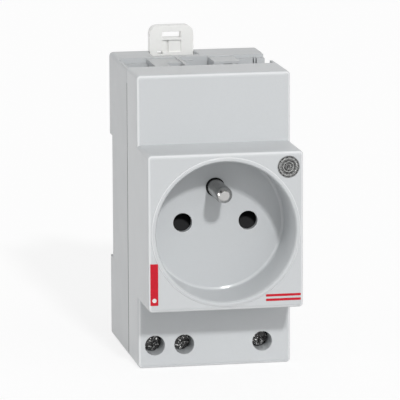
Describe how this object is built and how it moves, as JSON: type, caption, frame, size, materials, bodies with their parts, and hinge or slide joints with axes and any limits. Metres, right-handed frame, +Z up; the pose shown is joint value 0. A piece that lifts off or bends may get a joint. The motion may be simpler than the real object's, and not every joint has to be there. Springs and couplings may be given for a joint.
{
  "type": "rail-mounted socket outlet",
  "caption": "Modular socket outlet for a 35 mm panel-board rail, with a round plug well, earth pin, indicator lens, screw terminals and a sliding rail clip.",
  "frame": {"origin": "middle of the rail seat: the plane against the front of the rail, mid height of the rail and mid width of the housing", "axes": "+Z up, -Y towards the user (plug side), +X to the right seen from the front"},
  "size_m": [0.0446, 0.0674, 0.0928],
  "materials": {
    "housing_plastic": "fine satin moulded surface, light grey",
    "inner_plastic": "plain moulded surface",
    "shutter_plastic": "smooth dark moulded surface",
    "clip_plastic": "smooth white moulded surface",
    "spring_steel": "bright drawn wire",
    "nickel_plate": "turned and nickel plated",
    "brass_strip": "rolled brass strip",
    "zinc_steel": "zinc plated folded steel",
    "screw_steel": "dark plated steel",
    "clear_lens": "clear moulded lens with fine rings",
    "lamp_glass": "clear glass tube",
    "resistor_body": "dipped ceramic body",
    "copper_lead": "tinned wire"
  },
  "bodies": {
    "housing": {"rear_base": "housing_plastic", "front_cover": "housing_plastic", "well_floor": "housing_plastic", "contact_carrier": "inner_plastic", "shutter_spring": "spring_steel", "clip_spring": "spring_steel", "earth_pin": "nickel_plate", "earth_strip": "brass_strip", "neutral_contact": "brass_strip", "line_contact": "brass_strip", "neutral_grip_spring": "spring_steel", "line_grip_spring": "spring_steel", "indicator_lens": "clear_lens", "neon_lamp": "lamp_glass", "series_resistor": "resistor_body", "lamp_lead_line": "copper_lead", "lamp_lead_resistor": "copper_lead", "resistor_lead_neutral": "copper_lead"},
    "clip": {"rail_clip": "clip_plastic"},
    "shutter": {"shutter": "shutter_plastic"},
    "neutral_screw": {"neutral_screw": "screw_steel"},
    "neutral_cage": {"neutral_cage": "zinc_steel"},
    "earth_screw": {"earth_screw": "screw_steel"},
    "earth_cage": {"earth_cage": "zinc_steel"},
    "line_screw": {"line_screw": "screw_steel"},
    "line_cage": {"line_cage": "zinc_steel"}
  },
  "joints": [
    {"name": "clip_slide", "type": "slide", "parent": "housing", "child": "clip", "axis": [0, 0, 1], "range_m": [0, 0.0045], "stiffness_N_per_m": 900, "springref_m": -0.004, "deforming": ["clip_spring"]},
    {"name": "shutter_slide", "type": "slide", "parent": "housing", "child": "shutter", "axis": [0, 0, -1], "range_m": [0, 0.0072], "stiffness_N_per_m": 150, "springref_m": -0.004, "deforming": ["shutter_spring"]},
    {"name": "neutral_screw_turn", "type": "hinge", "parent": "housing", "child": "neutral_screw", "pos_m": [-0.01745, -0.033, -0.0358], "axis": [0, 1, 0], "range_deg": [0, 2160]},
    {"name": "neutral_cage_lift", "type": "slide", "parent": "housing", "child": "neutral_cage", "axis": [0, -1, 0], "range_m": [0, 0.0042]},
    {"name": "earth_screw_turn", "type": "hinge", "parent": "housing", "child": "earth_screw", "pos_m": [-0.0089, -0.033, -0.0358], "axis": [0, 1, 0], "range_deg": [0, 2160]},
    {"name": "earth_cage_lift", "type": "slide", "parent": "housing", "child": "earth_cage", "axis": [0, -1, 0], "range_m": [0, 0.0042]},
    {"name": "line_screw_turn", "type": "hinge", "parent": "housing", "child": "line_screw", "pos_m": [0.01385, -0.033, -0.0358], "axis": [0, 1, 0], "range_deg": [0, 2160]},
    {"name": "line_cage_lift", "type": "slide", "parent": "housing", "child": "line_cage", "axis": [0, -1, 0], "range_m": [0, 0.0042]}
  ],
  "couplings": [
    {"joint": "neutral_screw_turn", "follows": "neutral_cage_lift", "rad_per_m": 8975.9},
    {"joint": "earth_screw_turn", "follows": "earth_cage_lift", "rad_per_m": 8975.9},
    {"joint": "line_screw_turn", "follows": "line_cage_lift", "rad_per_m": 8975.9}
  ]
}
